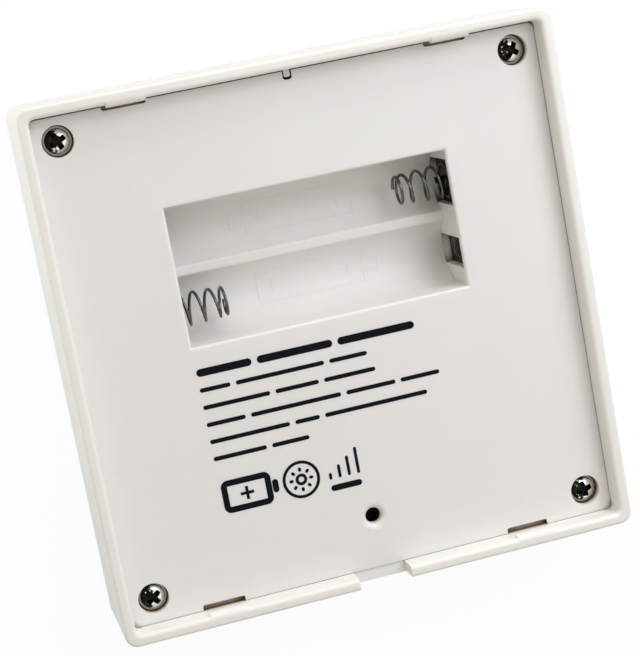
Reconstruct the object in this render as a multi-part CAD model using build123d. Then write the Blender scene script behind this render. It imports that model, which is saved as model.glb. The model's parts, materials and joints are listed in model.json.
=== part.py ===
from build123d import *
import os
from math import asin, cos, pi, sin, sqrt

# A battery-powered wall touch panel, lying on its touch face without its wall base.
# All lengths are millimetres. +Z points to the back of the panel, and +X is right and +Y up
# as the back is looked at. The origin is the middle of the touch face.

# Case
CASE_SIZE = 86.0
CASE_DEPTH = 19.0
CASE_CORNER_R = 2.0
CASE_WALL = 1.9
CASE_INNER_CORNER_R = 0.9
CASE_EDGE_R = 0.5
RIM_INNER_EDGE_R = 0.75

# Touch panel, its adhesive sheet and the shelf that they are stuck to
PANEL_THICKNESS = 1.8
PANEL_LIP = 1.0
PANEL_GAP = 0.1
PANEL_EDGE_R = 0.3
ADHESIVE_THICKNESS = 0.2
ADHESIVE_MARGIN = 0.6
SHELF_WIDTH = 1.9
SHELF_THICKNESS = 1.2

# Rear cover and the bars it sits on
COVER_THICKNESS = 1.6
COVER_GAP = 0.03
COVER_TOP_GAP = 0.3
COVER_EDGE_R = 0.05
LEDGE_WIDTH = 0.9
LEDGE_HEIGHT = 1.5
LEDGE_END_GAP = 1.0

# Locating key of the case in a notch of the cover
KEY_WIDTH = 1.0
KEY_REACH = 1.3
KEY_CORNER_R = 0.2
KEY_SIDE_GAP = 0.22
KEY_END_GAP = 0.4
KEY_DROP = 0.1

# Clip tabs of the case, each over a slot in the cover
CLIP_X = 26.05
CLIP_LENGTH = 6.1
CLIP_REACH = 0.4
CLIP_HEIGHT = 2.1
CLIP_UNDERCUT = 0.7
CLIP_NOSE_HEIGHT = 0.5
CLIP_SLOT_LENGTH = 7.0
CLIP_SLOT_WIDTH = 0.9
CLIP_SLOT_CORNER_R = 0.35
CLIP_SLOT_FLOOR = 0.5

# Pry notch in the bottom rim
PRY_WIDTH = 8.8
PRY_DROP = 0.2

# Cover screws, their recesses and the bosses of the case
SCREW_INSET = 6.0
SCREW_SHANK_D = 2.2
SCREW_LENGTH = 7.0
SCREW_TIP_LENGTH = 1.0
SCREW_TIP_D = 0.8
SCREW_HEAD_D = 3.7
SCREW_HEAD_HEIGHT = 1.1
SCREW_HEAD_SIDE = 0.45
SCREW_FLANGE_D = 4.8
SCREW_FLANGE_THICKNESS = 0.4
CROSS_WIDTH = 0.85
CROSS_LENGTH = 3.0
CROSS_DEPTH = 0.8
RECESS_GAP = 0.1
RECESS_DEPTH = 1.9
RECESS_FLOOR = 1.0
RECESS_WALL = 0.8
SCREW_HOLE_GAP = 0.25
PILOT_GAP = 0.05
PILOT_SPARE = 0.6
BOSS_D = 6.0
GUSSET_THICKNESS = 1.0
GUSSET_DROP = 1.5

# Battery well for two small cylindrical cells
WELL_CENTRE_Y = 12.33
WELL_LENGTH = 46.2
WELL_BOARD_GAP = 0.2
BAY_R = 5.4
BAY_WEB = 0.8
CELL_AXIS_DEPTH = 5.5
RIDGE_HEIGHT = 3.4
RIDGE_EDGE_R = 0.5
WELL_EDGE_R = 0.45
WELL_WALL = 1.2
WELL_FLOOR = 0.9

# Contacts in slots of the end walls, seen through windows
CONTACT_THICKNESS = 0.3
CONTACT_WIDTH = 8.6
CONTACT_LAP = 0.2
CONTACT_GAP = 0.05
CONTACT_CORNER_R = 0.4
END_LIP = 1.3
END_BACK = 1.0
WINDOW_TOP_GAP = 1.6
WINDOW_SIDE_GAP = 0.7
BUMP_SIDE_GAP = 0.6
BUMP_R = 1.9
BUMP_HEIGHT = 1.0
TAIL_WIDTH = 2.0
HOOK_WIDTH = 1.0
HOOK_FOLD = 0.9
HOOK_GAP = 0.12

# Contact springs
WIRE_D = 0.5
SPRING_LENGTH = 9.2
SPRING_BASE_D = 6.2
SPRING_TIP_D = 4.8
SPRING_TURNS = 5
SPRING_CLOSED_TURNS = 1.0
SPRING_CLOSED_PITCH = 0.6
SPRING_POINTS_PER_TURN = 12
SPRING_SEAT_GAP = 0.03

# Round hole in the cover and the buzzer below it
SOUND_HOLE_X = 0.8
SOUND_HOLE_INSET = 10.4
SOUND_HOLE_D = 2.55
SOUND_HOLE_EDGE_R = 1.05
BUZZER_D = 9.0
BUZZER_HEIGHT = 5.5
BUZZER_PORT_D = 2.0
BUZZER_PORT_DEPTH = 1.2
BUZZER_EDGE_R = 0.4

# Circuit board
BOARD_THICKNESS = 1.0
BOARD_GAP = 0.3
BOARD_CORNER_R = 0.6

# Chips
RADIO_SIZE = 5.0
RADIO_HEIGHT = 0.85
RADIO_X = 12.0
RADIO_Y = -12.0
PIN_MARK_D = 0.6
PIN_MARK_INSET = 0.8
PIN_MARK_DEPTH = 0.1
CHIP_EDGE = 0.15
TOUCH_LENGTH = 8.2
TOUCH_WIDTH = 5.3
TOUCH_HEIGHT = 1.75
TOUCH_X = -12.0
TOUCH_Y = -14.0
LEAD_COUNT = 12
LEAD_PITCH = 0.65
LEAD_WIDTH = 0.3
LEAD_THICKNESS = 0.18
LEAD_REACH = 1.25
LEAD_FOOT = 0.7

# Crystal, indicator and capacitor can
CRYSTAL_LENGTH = 3.2
CRYSTAL_WIDTH = 2.5
CRYSTAL_BASE_HEIGHT = 0.5
CRYSTAL_LID_HEIGHT = 0.25
CRYSTAL_LID_INSET = 0.2
CRYSTAL_X = 19.0
CRYSTAL_Y = -12.0
LED_LENGTH = 3.2
LED_WIDTH = 1.6
LED_HEIGHT = 0.9
LED_LENS_D = 1.8
LED_HOLE_GAP = 0.2
LED_X = 0.0
LED_INSET = 7.9
CAN_D = 5.0
CAN_HEIGHT = 5.4
CAN_BASE_SIZE = 5.3
CAN_BASE_HEIGHT = 1.0
CAN_EDGE_R = 0.35
CAN_INSET = 7.4
CAN_Y = -4.0

# Chip capacitors and resistors, in rows beside the chips
CHIP_PART_LENGTH = 1.6
CHIP_PART_WIDTH = 0.8
CAPACITOR_HEIGHT = 0.8
RESISTOR_HEIGHT = 0.45
CHIP_ROW_COUNT = 6
CHIP_ROW_PITCH = 2.4
CAPACITOR_ROW_Y = -6.0
RESISTOR_ROW_Y = -21.0

# Places that follow from the sizes above
CASE_HALF = CASE_SIZE / 2
WALL_FACE = CASE_HALF - CASE_WALL
PANEL_POCKET_HALF = CASE_HALF - PANEL_LIP
PANEL_SEAT = PANEL_THICKNESS + ADHESIVE_THICKNESS
SHELF_HALF = WALL_FACE - SHELF_WIDTH
BOARD_HALF = SHELF_HALF - BOARD_GAP
BOARD_TOP = PANEL_SEAT + BOARD_THICKNESS
LED_Y = BOARD_HALF - LED_INSET
CAN_X = CAN_INSET - BOARD_HALF

# The well stands over the board, and the cover lies at the well's mouth.
# The rim takes the rest of the depth.
WELL_UNDER = BOARD_TOP + WELL_BOARD_GAP
WELL_FLOOR_Z = WELL_UNDER + WELL_FLOOR
RIDGE_TOP = WELL_FLOOR_Z + RIDGE_HEIGHT
CELL_AXIS_Z = WELL_FLOOR_Z + BAY_R
COVER_TOP = CELL_AXIS_Z + CELL_AXIS_DEPTH
COVER_UNDER = COVER_TOP - COVER_THICKNESS
COVER_HALF = WALL_FACE - COVER_GAP
COVER_TOP_EDGE = WALL_FACE - COVER_TOP_GAP
CLIP_SLOT_INNER = CLIP_X - CLIP_SLOT_LENGTH / 2
SOUND_HOLE_Y = SOUND_HOLE_INSET - CASE_HALF

SCREW_POS = CASE_HALF - SCREW_INSET
RECESS_D = SCREW_FLANGE_D + 2 * RECESS_GAP
RECESS_FLOOR_Z = COVER_TOP - RECESS_DEPTH
BOSS_TOP = RECESS_FLOOR_Z - RECESS_FLOOR
BOSS_PAD_HALF = SCREW_POS - BOSS_D / 2
BOARD_NOTCH_HALF = BOSS_PAD_HALF - BOARD_GAP
LEDGE_END = BOSS_PAD_HALF - LEDGE_END_GAP

WELL_END = WELL_LENGTH / 2
BAY_PITCH = 2 * BAY_R + BAY_WEB
WELL_HALF_WIDTH = BAY_PITCH / 2 + BAY_R
UPPER_Y = WELL_CENTRE_Y + BAY_PITCH / 2
LOWER_Y = WELL_CENTRE_Y - BAY_PITCH / 2
SPRING_WINDOW_WIDTH = SPRING_BASE_D + 2 * WINDOW_SIDE_GAP
BUMP_WINDOW_WIDTH = 2 * BUMP_R + 2 * BUMP_SIDE_GAP
WINDOW_TOP = CELL_AXIS_Z + SPRING_BASE_D / 2 + WINDOW_TOP_GAP
CONTACT_FACE = WELL_END + END_LIP + CONTACT_GAP
SLOT_DEPTH = CONTACT_THICKNESS + 2 * CONTACT_GAP
WELL_OUTER_END = WELL_END + END_LIP + SLOT_DEPTH + END_BACK
CONTACT_TOP = WINDOW_TOP + CONTACT_LAP
CONTACT_BOTTOM = WELL_FLOOR_Z - CONTACT_LAP


def slab(size, corner_r, bottom, top):
    """A square plate with rounded corners, centred on the Z axis."""
    outline = Pos(0, 0, bottom) * RectangleRounded(size, size, corner_r)
    return extrude(outline, top - bottom)


def block(x_span, y_span, z_span):
    """A box between two values on each axis."""
    spans = [x_span, y_span, z_span]
    sizes = [high - low for low, high in spans]
    middles = [(high + low) / 2 for low, high in spans]
    return Pos(*middles) * Box(*sizes)


def rod(diameter, bottom, top, x=0.0, y=0.0):
    """An upright cylinder."""
    upright = (Align.CENTER, Align.CENTER, Align.MIN)
    return Pos(x, y, bottom) * Cylinder(diameter / 2, top - bottom, align=upright)


def corners(distance):
    """The four corner places at a distance from the middle in X and Y."""
    return [(sx * distance, sy * distance) for sx in (-1, 1) for sy in (-1, 1)]


def key_shape(side_gap, end_gap, bottom, top):
    """The locating key at the middle of the top wall, grown by its gaps."""
    half_width = KEY_WIDTH / 2 + side_gap
    end_y = WALL_FACE - KEY_REACH - end_gap
    stem = block((-half_width, half_width), (end_y, WALL_FACE + CASE_WALL / 2), (bottom, top))
    end_corners = stem.edges().filter_by(Axis.Z).group_by(Axis.Y)[0]
    return fillet(end_corners, KEY_CORNER_R + side_gap)


def clip_tab():
    """One clip tab on the top wall: undercut below, rounded lead-in above."""
    root = WALL_FACE + CASE_WALL / 2
    nose = WALL_FACE - CLIP_REACH
    foot_z = CASE_DEPTH - CLIP_HEIGHT
    nose_z = foot_z + CLIP_UNDERCUT
    nose_top = (nose, nose_z + CLIP_NOSE_HEIGHT)
    rim_edge = (WALL_FACE + RIM_INNER_EDGE_R, CASE_DEPTH)
    outline = [
        Polyline(rim_edge, (root, CASE_DEPTH), (root, foot_z), (WALL_FACE, foot_z)),
        Polyline((WALL_FACE, foot_z), (nose, nose_z), nose_top),
        TangentArc(rim_edge, nose_top, tangent=(-1, 0)),
    ]
    tab = extrude(Plane.YZ * make_face(outline), CLIP_LENGTH)
    return Pos(CLIP_X - CLIP_LENGTH / 2, 0, 0) * tab


def four_ways(shape):
    """A shape on the right of the top wall, repeated on the left and on the bottom wall."""
    top_pair = [shape, mirror(shape, Plane.YZ)]
    return top_pair + [mirror(s, Plane.XZ) for s in top_pair]


def cover_ledges():
    """Bars along the four walls that carry the cover, clear of the clip slots and the bosses."""
    heights = (COVER_UNDER - LEDGE_HEIGHT, COVER_UNDER)
    reach = (WALL_FACE - LEDGE_WIDTH, WALL_FACE + CASE_WALL / 2)
    side_bar = block(reach, (-LEDGE_END, LEDGE_END), heights)
    top_end = CLIP_SLOT_INNER - LEDGE_END_GAP
    top_bar = block((-top_end, top_end), reach, heights)
    return [side_bar, mirror(side_bar, Plane.YZ), top_bar, mirror(top_bar, Plane.XZ)]


def screw_boss(x, y):
    """One boss with its corner pad and two gussets to the nearest walls."""
    to_x = WALL_FACE if x > 0 else -WALL_FACE
    to_y = WALL_FACE if y > 0 else -WALL_FACE
    pad_x = BOSS_PAD_HALF if x > 0 else -BOSS_PAD_HALF
    pad_y = BOSS_PAD_HALF if y > 0 else -BOSS_PAD_HALF
    half_gusset = GUSSET_THICKNESS / 2
    heights = (PANEL_SEAT, BOSS_TOP - GUSSET_DROP)
    pad = block(
        sorted((pad_x, to_x)), sorted((pad_y, to_y)), (PANEL_SEAT, PANEL_SEAT + SHELF_THICKNESS)
    )
    x_gusset = block(sorted((x, to_x)), (y - half_gusset, y + half_gusset), heights)
    y_gusset = block((x - half_gusset, x + half_gusset), sorted((y, to_y)), heights)
    return pad + rod(BOSS_D, PANEL_SEAT, BOSS_TOP, x, y) + x_gusset + y_gusset


def make_front_frame():
    """The moulded case: walls and rim, front shelf, cover ledges, bosses, key and clip tabs."""
    shelf_top = PANEL_SEAT + SHELF_THICKNESS
    pocket_r = CASE_CORNER_R - PANEL_LIP
    case = slab(CASE_SIZE, CASE_CORNER_R, 0, CASE_DEPTH)
    case = fillet(case.edges().group_by(Axis.Z)[-1] + case.edges().group_by(Axis.Z)[0], CASE_EDGE_R)
    case -= slab(2 * PANEL_POCKET_HALF, pocket_r, 0, PANEL_SEAT)
    case -= slab(2 * SHELF_HALF, CASE_INNER_CORNER_R, PANEL_SEAT, shelf_top)
    case -= slab(2 * WALL_FACE, CASE_INNER_CORNER_R, shelf_top, CASE_DEPTH)
    rim_face = case.faces().sort_by(Axis.Z)[-1]
    case = fillet(rim_face.inner_wires()[0].edges(), RIM_INNER_EDGE_R)
    pry_half = PRY_WIDTH / 2
    case -= block(
        (-pry_half, pry_half),
        (-CASE_HALF, -WALL_FACE),
        (COVER_TOP - PRY_DROP, CASE_DEPTH),
    )
    case += cover_ledges()
    case += [screw_boss(x, y) for x, y in corners(SCREW_POS)]
    case += four_ways(clip_tab())
    case += key_shape(0, 0, COVER_UNDER - LEDGE_HEIGHT, COVER_TOP - KEY_DROP)
    pilot_d = SCREW_SHANK_D + 2 * PILOT_GAP
    pilot_bottom = RECESS_FLOOR_Z - SCREW_LENGTH - PILOT_SPARE
    case -= [rod(pilot_d, pilot_bottom, BOSS_TOP, x, y) for x, y in corners(SCREW_POS)]
    return case


def well_cavity():
    """The open space of the battery well: two round-bottomed bays with a low ridge between."""
    chord = sqrt(BAY_R**2 - (CELL_AXIS_Z - RIDGE_TOP) ** 2)
    low_side = (WELL_CENTRE_Y - WELL_HALF_WIDTH, CELL_AXIS_Z)
    high_side = (WELL_CENTRE_Y + WELL_HALF_WIDTH, CELL_AXIS_Z)
    low_ridge = (LOWER_Y + chord, RIDGE_TOP)
    high_ridge = (UPPER_Y - chord, RIDGE_TOP)
    outline = [
        Polyline(low_side, (low_side[0], COVER_TOP), (high_side[0], COVER_TOP), high_side),
        ThreePointArc(high_side, (UPPER_Y, WELL_FLOOR_Z), high_ridge),
        Line(high_ridge, low_ridge),
        ThreePointArc(low_ridge, (LOWER_Y, WELL_FLOOR_Z), low_side),
    ]
    section = make_face(outline)
    ridge_ends = section.vertices().sort_by(lambda v: abs(v.X - WELL_CENTRE_Y))[:2]
    half_ridge = BAY_PITCH / 2 - chord
    section = fillet(ridge_ends, min(RIDGE_EDGE_R, half_ridge))
    return Pos(-WELL_END, 0, 0) * extrude(Plane.YZ * section, WELL_LENGTH)


def end_window(width, y):
    """The window in the right end wall through which a contact reaches one bay."""
    half_width = width / 2
    return block(
        (WELL_END, WELL_END + END_LIP),
        (y - half_width, y + half_width),
        (WELL_FLOOR_Z, WINDOW_TOP),
    )


def end_slot(low_y, high_y):
    """The slot in the right end wall that a contact is pushed into from the board side."""
    return block(
        (WELL_END + END_LIP, WELL_END + END_LIP + SLOT_DEPTH),
        (low_y - CONTACT_GAP, high_y + CONTACT_GAP),
        (WELL_UNDER, CONTACT_TOP + CONTACT_GAP),
    )


def contact_openings():
    """Windows and slots of both end walls."""
    half_width = CONTACT_WIDTH / 2
    right = [
        end_window(SPRING_WINDOW_WIDTH, UPPER_Y),
        end_window(BUMP_WINDOW_WIDTH, LOWER_Y),
        end_slot(LOWER_Y - half_width, UPPER_Y + half_width),
    ]
    left = [
        end_window(BUMP_WINDOW_WIDTH, UPPER_Y),
        end_window(SPRING_WINDOW_WIDTH, LOWER_Y),
        end_slot(LOWER_Y - half_width, LOWER_Y + half_width),
        end_slot(UPPER_Y - half_width, UPPER_Y + half_width),
    ]
    return right + [mirror(s, Plane.YZ) for s in left]


def make_rear_cover():
    """The moulded cover: plate, battery well, screw recesses, clip slots, key notch and hole."""
    corner_r = CASE_INNER_CORNER_R - COVER_GAP
    outline = RectangleRounded(2 * COVER_HALF, COVER_TOP_EDGE + COVER_HALF, corner_r)
    cover = extrude(Pos(0, (COVER_TOP_EDGE - COVER_HALF) / 2, COVER_UNDER) * outline, COVER_THICKNESS)
    cover = fillet(cover.edges().group_by(Axis.Z)[-1], COVER_EDGE_R)
    well_half = WELL_HALF_WIDTH + WELL_WALL
    cover += block(
        (-WELL_OUTER_END, WELL_OUTER_END),
        (WELL_CENTRE_Y - well_half, WELL_CENTRE_Y + well_half),
        (WELL_UNDER, COVER_UNDER),
    )
    cup_d = RECESS_D + 2 * RECESS_WALL
    cover += [rod(cup_d, BOSS_TOP, COVER_UNDER, x, y) for x, y in corners(SCREW_POS)]
    cover -= well_cavity()
    plate_face = cover.faces().sort_by(Axis.Z)[-1]
    cover = fillet(plate_face.inner_wires()[0].edges(), WELL_EDGE_R)
    cover -= contact_openings()
    hole_d = SCREW_SHANK_D + 2 * SCREW_HOLE_GAP
    cover -= [rod(RECESS_D, RECESS_FLOOR_Z, COVER_TOP, x, y) for x, y in corners(SCREW_POS)]
    cover -= [rod(hole_d, BOSS_TOP, RECESS_FLOOR_Z, x, y) for x, y in corners(SCREW_POS)]
    cover -= key_shape(KEY_SIDE_GAP, KEY_END_GAP, COVER_UNDER, COVER_TOP)
    half_slot = CLIP_SLOT_LENGTH / 2
    slot = block(
        (CLIP_X - half_slot, CLIP_X + half_slot),
        (COVER_HALF - CLIP_SLOT_WIDTH, COVER_HALF),
        (COVER_UNDER + CLIP_SLOT_FLOOR, COVER_TOP),
    )
    slot = fillet(slot.edges().filter_by(Axis.Z).group_by(Axis.Y)[0], CLIP_SLOT_CORNER_R)
    cover -= four_ways(slot)
    cover -= rod(SOUND_HOLE_D, COVER_UNDER, COVER_TOP, SOUND_HOLE_X, SOUND_HOLE_Y)
    hole_place = Vector(SOUND_HOLE_X, SOUND_HOLE_Y, COVER_TOP)
    mouth = cover.edges().filter_by(GeomType.CIRCLE).sort_by_distance(hole_place)[0]
    return fillet(mouth, SOUND_HOLE_EDGE_R)


def make_screw():
    """One washer-head screw with a cross recess, standing at the origin on its flange."""
    shank_r = SCREW_SHANK_D / 2
    head_r = SCREW_HEAD_D / 2
    flange_r = SCREW_FLANGE_D / 2
    head_base = SCREW_FLANGE_THICKNESS
    head_top = head_base + SCREW_HEAD_HEIGHT
    side_top = head_base + SCREW_HEAD_SIDE
    crown_height = head_top - side_top
    crown_r = (head_r**2 + crown_height**2) / (2 * crown_height)
    half_angle = asin(head_r / crown_r) / 2
    crown_mid = (crown_r * sin(half_angle), head_top - crown_r + crown_r * cos(half_angle))
    outline = [
        Polyline(
            (0, head_top),
            (0, -SCREW_LENGTH),
            (SCREW_TIP_D / 2, -SCREW_LENGTH),
            (shank_r, -SCREW_LENGTH + SCREW_TIP_LENGTH),
            (shank_r, 0),
            (flange_r, 0),
            (flange_r, head_base),
            (head_r, head_base),
            (head_r, side_top),
        ),
        ThreePointArc((head_r, side_top), crown_mid, (0, head_top)),
    ]
    body = revolve(Plane.XZ * make_face(outline), Axis.Z)
    arm = Pos(0, 0, head_top - CROSS_DEPTH / 2) * Box(CROSS_LENGTH, CROSS_WIDTH, CROSS_DEPTH)
    return body - arm - Rot(0, 0, 90) * arm


def make_cover_screws():
    """The four screws on the floors of their recesses."""
    screw = make_screw()
    return [Pos(x, y, RECESS_FLOOR_Z) * screw for x, y in corners(SCREW_POS)]


def contact_sheet(low_y, high_y):
    """A flat contact in the slot of the right end wall."""
    outline = RectangleRounded(high_y - low_y, CONTACT_TOP - CONTACT_BOTTOM, CONTACT_CORNER_R)
    middle = Pos((high_y + low_y) / 2, (CONTACT_TOP + CONTACT_BOTTOM) / 2) * outline
    return Pos(CONTACT_FACE, 0, 0) * extrude(Plane.YZ * middle, CONTACT_THICKNESS)


def with_bump(sheet, y):
    """A sheet with a round bump pressed towards the bay at a height of the cell's axis."""
    sphere_r = (BUMP_R**2 + BUMP_HEIGHT**2) / (2 * BUMP_HEIGHT)
    middle = Pos(CONTACT_FACE - BUMP_HEIGHT + sphere_r, y, CELL_AXIS_Z)
    half_cap = BUMP_R + CONTACT_THICKNESS
    cap_zone = block(
        (CONTACT_FACE - BUMP_HEIGHT, CONTACT_FACE),
        (y - half_cap, y + half_cap),
        (CELL_AXIS_Z - half_cap, CELL_AXIS_Z + half_cap),
    )
    cap = middle * Sphere(sphere_r) & cap_zone
    return sheet + cap - middle * Sphere(sphere_r - CONTACT_THICKNESS)


def spring_rise(share):
    """Height of the wire's middle along the spring, close-wound at both ends."""
    open_turns = SPRING_TURNS - 2 * SPRING_CLOSED_TURNS
    open_rise = SPRING_LENGTH - WIRE_D - 2 * SPRING_CLOSED_TURNS * SPRING_CLOSED_PITCH
    opened = min(max(SPRING_TURNS * share - SPRING_CLOSED_TURNS, 0.0), open_turns)
    closed = SPRING_TURNS * share - opened
    return SPRING_SEAT_GAP + WIRE_D / 2 + SPRING_CLOSED_PITCH * closed + open_rise * opened / open_turns


def spring_radius(share):
    """Distance of the wire's middle from the spring's axis, tapering to the tip."""
    base_r = (SPRING_BASE_D - WIRE_D) / 2
    tip_r = (SPRING_TIP_D - WIRE_D) / 2
    return base_r + (tip_r - base_r) * share


def with_hooks(sheet, y):
    """A sheet with two hooks folded over the spring's first turn, above and below its axis."""
    half_width = HOOK_WIDTH / 2
    for side, share in ((1, 0.5 / SPRING_TURNS), (-1, 1.0 / SPRING_TURNS)):
        inner = spring_radius(share) - WIRE_D / 2 - HOOK_GAP - CONTACT_THICKNESS
        fold = CONTACT_FACE - spring_rise(share) - WIRE_D / 2 - HOOK_GAP
        across = (y - half_width, y + half_width)
        stem_z = sorted((CELL_AXIS_Z + side * inner, CELL_AXIS_Z + side * (inner + CONTACT_THICKNESS)))
        fold_z = sorted((CELL_AXIS_Z + side * inner, CELL_AXIS_Z + side * (inner + HOOK_FOLD)))
        sheet += block((fold - CONTACT_THICKNESS, CONTACT_FACE), across, stem_z)
        sheet += block((fold - CONTACT_THICKNESS, fold), across, fold_z)
    return sheet


def with_tail(sheet, y):
    """A sheet with a tail that reaches down to the circuit board."""
    half_width = TAIL_WIDTH / 2
    return sheet + block(
        (CONTACT_FACE, CONTACT_FACE + CONTACT_THICKNESS),
        (y - half_width, y + half_width),
        (BOARD_TOP, CONTACT_BOTTOM + CONTACT_CORNER_R),
    )


def make_link_contact():
    """The contact across both bays at the right end: spring seat above, bump below."""
    half_width = CONTACT_WIDTH / 2
    sheet = contact_sheet(LOWER_Y - half_width, UPPER_Y + half_width)
    return with_hooks(with_bump(sheet, LOWER_Y), UPPER_Y)


def make_positive_contact():
    """The bump contact at the left end of the upper bay."""
    half_width = CONTACT_WIDTH / 2
    sheet = contact_sheet(UPPER_Y - half_width, UPPER_Y + half_width)
    return mirror(with_tail(with_bump(sheet, UPPER_Y), UPPER_Y), Plane.YZ)


def make_negative_contact():
    """The spring seat at the left end of the lower bay."""
    half_width = CONTACT_WIDTH / 2
    sheet = contact_sheet(LOWER_Y - half_width, LOWER_Y + half_width)
    return mirror(with_tail(with_hooks(sheet, LOWER_Y), LOWER_Y), Plane.YZ)


def make_spring(y):
    """A tapering coil spring that stands on the right contact and points into the bay."""
    steps = SPRING_TURNS * SPRING_POINTS_PER_TURN
    points = []
    for step in range(steps + 1):
        share = step / steps
        angle = 2 * pi * SPRING_TURNS * share
        radius = spring_radius(share)
        points.append((
            CONTACT_FACE - spring_rise(share),
            y - radius * sin(angle),
            CELL_AXIS_Z - radius * cos(angle),
        ))
    path = Spline(*points)
    section = Plane(origin=path @ 0, z_dir=path % 0) * Circle(WIRE_D / 2)
    return sweep(section, path=path, is_frenet=True)


def make_touch_panel():
    """The front sheet, with its touched edges rounded."""
    half = PANEL_POCKET_HALF - PANEL_GAP
    panel = slab(2 * half, CASE_CORNER_R - PANEL_LIP - PANEL_GAP, 0, PANEL_THICKNESS)
    return fillet(panel.edges().group_by(Axis.Z)[0], PANEL_EDGE_R)


def make_panel_adhesive():
    """The adhesive sheet between the front sheet, the shelf and the circuit board."""
    half = PANEL_POCKET_HALF - ADHESIVE_MARGIN
    return slab(2 * half, CASE_INNER_CORNER_R, PANEL_THICKNESS, PANEL_SEAT)


def make_circuit_board():
    """The board, notched at its corners for the bosses and drilled for the indicator."""
    board = slab(2 * BOARD_HALF, BOARD_CORNER_R, PANEL_SEAT, BOARD_TOP)
    for x, y in corners(1):
        board -= block(
            sorted((x * BOARD_NOTCH_HALF, x * BOARD_HALF)),
            sorted((y * BOARD_NOTCH_HALF, y * BOARD_HALF)),
            (PANEL_SEAT, BOARD_TOP),
        )
    return board - rod(LED_LENS_D + 2 * LED_HOLE_GAP, PANEL_SEAT, BOARD_TOP, LED_X, LED_Y)


def chip_body(length, width, height):
    """A moulded chip package on the origin, with a chamfered top and a mark at its first pin."""
    body = Pos(0, 0, height / 2) * Box(length, width, height)
    body = chamfer(body.edges().group_by(Axis.Z)[-1], CHIP_EDGE)
    mark_x = PIN_MARK_INSET - length / 2
    mark_y = PIN_MARK_INSET - width / 2
    return body - rod(PIN_MARK_D, height - PIN_MARK_DEPTH, height, mark_x, mark_y)


def make_radio_chip():
    """A leadless radio chip."""
    return Pos(RADIO_X, RADIO_Y, BOARD_TOP) * chip_body(RADIO_SIZE, RADIO_SIZE, RADIO_HEIGHT)


def gull_lead():
    """One bent lead on the +Y side of the touch chip."""
    side = TOUCH_WIDTH / 2
    shoulder = TOUCH_HEIGHT / 2
    knee = side + LEAD_REACH - LEAD_FOOT
    outline = Polyline(
        (side - LEAD_THICKNESS, shoulder),
        (knee, shoulder),
        (knee, LEAD_THICKNESS),
        (side + LEAD_REACH, LEAD_THICKNESS),
        (side + LEAD_REACH, 0),
        (knee - LEAD_THICKNESS, 0),
        (knee - LEAD_THICKNESS, shoulder - LEAD_THICKNESS),
        (side - LEAD_THICKNESS, shoulder - LEAD_THICKNESS),
        close=True,
    )
    return Pos(-LEAD_WIDTH / 2, 0, 0) * extrude(Plane.YZ * make_face(outline), LEAD_WIDTH)


def make_touch_chip():
    """The touch controller, with a row of bent leads along each long side."""
    first = -LEAD_PITCH * (LEAD_COUNT - 1) / 2
    leads = [Pos(first + LEAD_PITCH * n, 0, 0) * gull_lead() for n in range(LEAD_COUNT)]
    chip = chip_body(TOUCH_LENGTH, TOUCH_WIDTH, TOUCH_HEIGHT) + leads
    chip += [mirror(lead, Plane.XZ) for lead in leads]
    return Pos(TOUCH_X, TOUCH_Y, BOARD_TOP) * chip


def make_crystal():
    """A crystal: ceramic base with a metal lid."""
    lid_top = CRYSTAL_BASE_HEIGHT + CRYSTAL_LID_HEIGHT
    lid_length = CRYSTAL_LENGTH - 2 * CRYSTAL_LID_INSET
    lid_width = CRYSTAL_WIDTH - 2 * CRYSTAL_LID_INSET
    base = Pos(0, 0, CRYSTAL_BASE_HEIGHT / 2) * Box(CRYSTAL_LENGTH, CRYSTAL_WIDTH, CRYSTAL_BASE_HEIGHT)
    lid = Pos(0, 0, lid_top / 2) * Box(lid_length, lid_width, lid_top)
    return Pos(CRYSTAL_X, CRYSTAL_Y, BOARD_TOP) * (base + lid)


def make_buzzer():
    """A round buzzer with its port below the hole in the cover."""
    top = BOARD_TOP + BUZZER_HEIGHT
    buzzer = rod(BUZZER_D, BOARD_TOP, top, SOUND_HOLE_X, SOUND_HOLE_Y)
    buzzer = fillet(buzzer.edges().group_by(Axis.Z)[-1], BUZZER_EDGE_R)
    return buzzer - rod(BUZZER_PORT_D, top - BUZZER_PORT_DEPTH, top, SOUND_HOLE_X, SOUND_HOLE_Y)


def make_indicator_led():
    """An indicator lamp that shines through the board towards the front."""
    body = Pos(LED_X, LED_Y, BOARD_TOP + LED_HEIGHT / 2) * Box(LED_LENGTH, LED_WIDTH, LED_HEIGHT)
    return body + rod(LED_LENS_D, PANEL_SEAT, BOARD_TOP, LED_X, LED_Y)


def make_bulk_capacitor():
    """An aluminium can capacitor on its square base."""
    top = BOARD_TOP + CAN_HEIGHT
    base_middle = Pos(CAN_X, CAN_Y, BOARD_TOP + CAN_BASE_HEIGHT / 2)
    base = base_middle * Box(CAN_BASE_SIZE, CAN_BASE_SIZE, CAN_BASE_HEIGHT)
    can = rod(CAN_D, BOARD_TOP, top, CAN_X, CAN_Y)
    can = fillet(can.edges().group_by(Axis.Z)[-1], CAN_EDGE_R)
    return base + can


def chip_row(x, y, height):
    """A row of small chip parts on the board, one solid each."""
    first = x - CHIP_ROW_PITCH * (CHIP_ROW_COUNT - 1) / 2
    part = Pos(0, y, BOARD_TOP + height / 2) * Box(CHIP_PART_WIDTH, CHIP_PART_LENGTH, height)
    return [Pos(first + CHIP_ROW_PITCH * n, 0, 0) * part for n in range(CHIP_ROW_COUNT)]


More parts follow.
